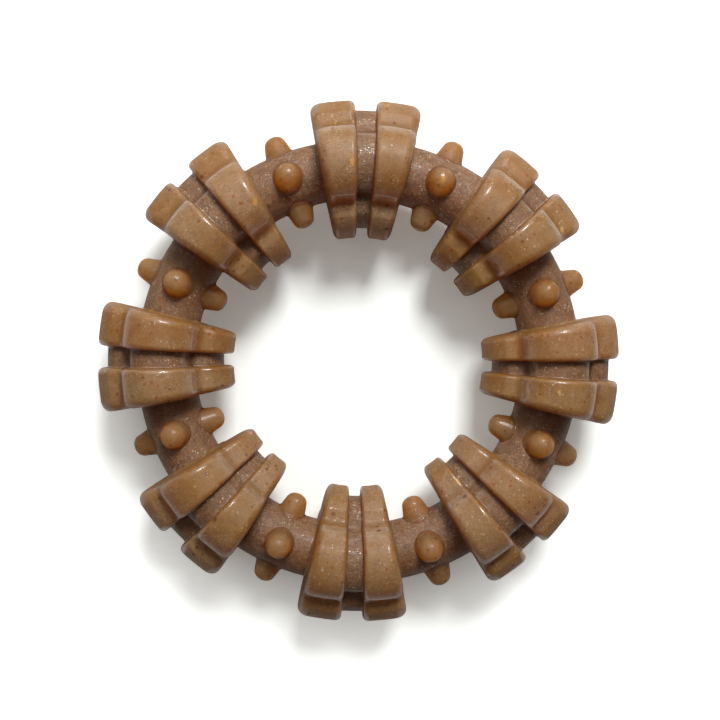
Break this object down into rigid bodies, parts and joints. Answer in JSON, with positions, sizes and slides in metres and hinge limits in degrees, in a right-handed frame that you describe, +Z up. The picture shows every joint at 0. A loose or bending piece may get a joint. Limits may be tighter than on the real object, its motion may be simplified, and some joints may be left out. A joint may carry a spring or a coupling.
{
  "type": "nylon chew ring",
  "caption": "Rigid dog chew ring: a round core with spaced pairs of flared four-lobed ribs, a lower saddle between each pair, and tapered nubs on all sides in between.",
  "frame": {"origin": "on the ring's axis, at the level of the surface that the ring lies on", "axes": "+Z up along the ring's axis; +X through the middle of station 1, +Y through station 3"},
  "size_m": [0.14, 0.14, 0.0365],
  "materials": {
    "core_nylon": "matte, finely scuffed",
    "rib_nylon": "soft gloss, waxy, with dark and gold flecks",
    "nub_nylon": "glossy amber, with dark flecks"
  },
  "bodies": {
    "root": {"core_ring": "core_nylon", "saddle_1": "core_nylon", "rib_1_left": "rib_nylon", "rib_1_right": "rib_nylon", "nub_1_outer": "nub_nylon", "nub_1_top": "nub_nylon", "nub_1_inner": "nub_nylon", "nub_1_bottom": "nub_nylon", "saddle_2": "core_nylon", "rib_2_left": "rib_nylon", "rib_2_right": "rib_nylon", "nub_2_outer": "nub_nylon", "nub_2_top": "nub_nylon", "nub_2_inner": "nub_nylon", "nub_2_bottom": "nub_nylon", "saddle_3": "core_nylon", "rib_3_left": "rib_nylon", "rib_3_right": "rib_nylon", "nub_3_outer": "nub_nylon", "nub_3_top": "nub_nylon", "nub_3_inner": "nub_nylon", "nub_3_bottom": "nub_nylon", "saddle_4": "core_nylon", "rib_4_left": "rib_nylon", "rib_4_right": "rib_nylon", "nub_4_outer": "nub_nylon", "nub_4_top": "nub_nylon", "nub_4_inner": "nub_nylon", "nub_4_bottom": "nub_nylon", "saddle_5": "core_nylon", "rib_5_left": "rib_nylon", "rib_5_right": "rib_nylon", "nub_5_outer": "nub_nylon", "nub_5_top": "nub_nylon", "nub_5_inner": "nub_nylon", "nub_5_bottom": "nub_nylon", "saddle_6": "core_nylon", "rib_6_left": "rib_nylon", "rib_6_right": "rib_nylon", "nub_6_outer": "nub_nylon", "nub_6_top": "nub_nylon", "nub_6_inner": "nub_nylon", "nub_6_bottom": "nub_nylon", "saddle_7": "core_nylon", "rib_7_left": "rib_nylon", "rib_7_right": "rib_nylon", "nub_7_outer": "nub_nylon", "nub_7_top": "nub_nylon", "nub_7_inner": "nub_nylon", "nub_7_bottom": "nub_nylon", "saddle_8": "core_nylon", "rib_8_left": "rib_nylon", "rib_8_right": "rib_nylon", "nub_8_outer": "nub_nylon", "nub_8_top": "nub_nylon", "nub_8_inner": "nub_nylon", "nub_8_bottom": "nub_nylon"}
  },
  "joints": []
}
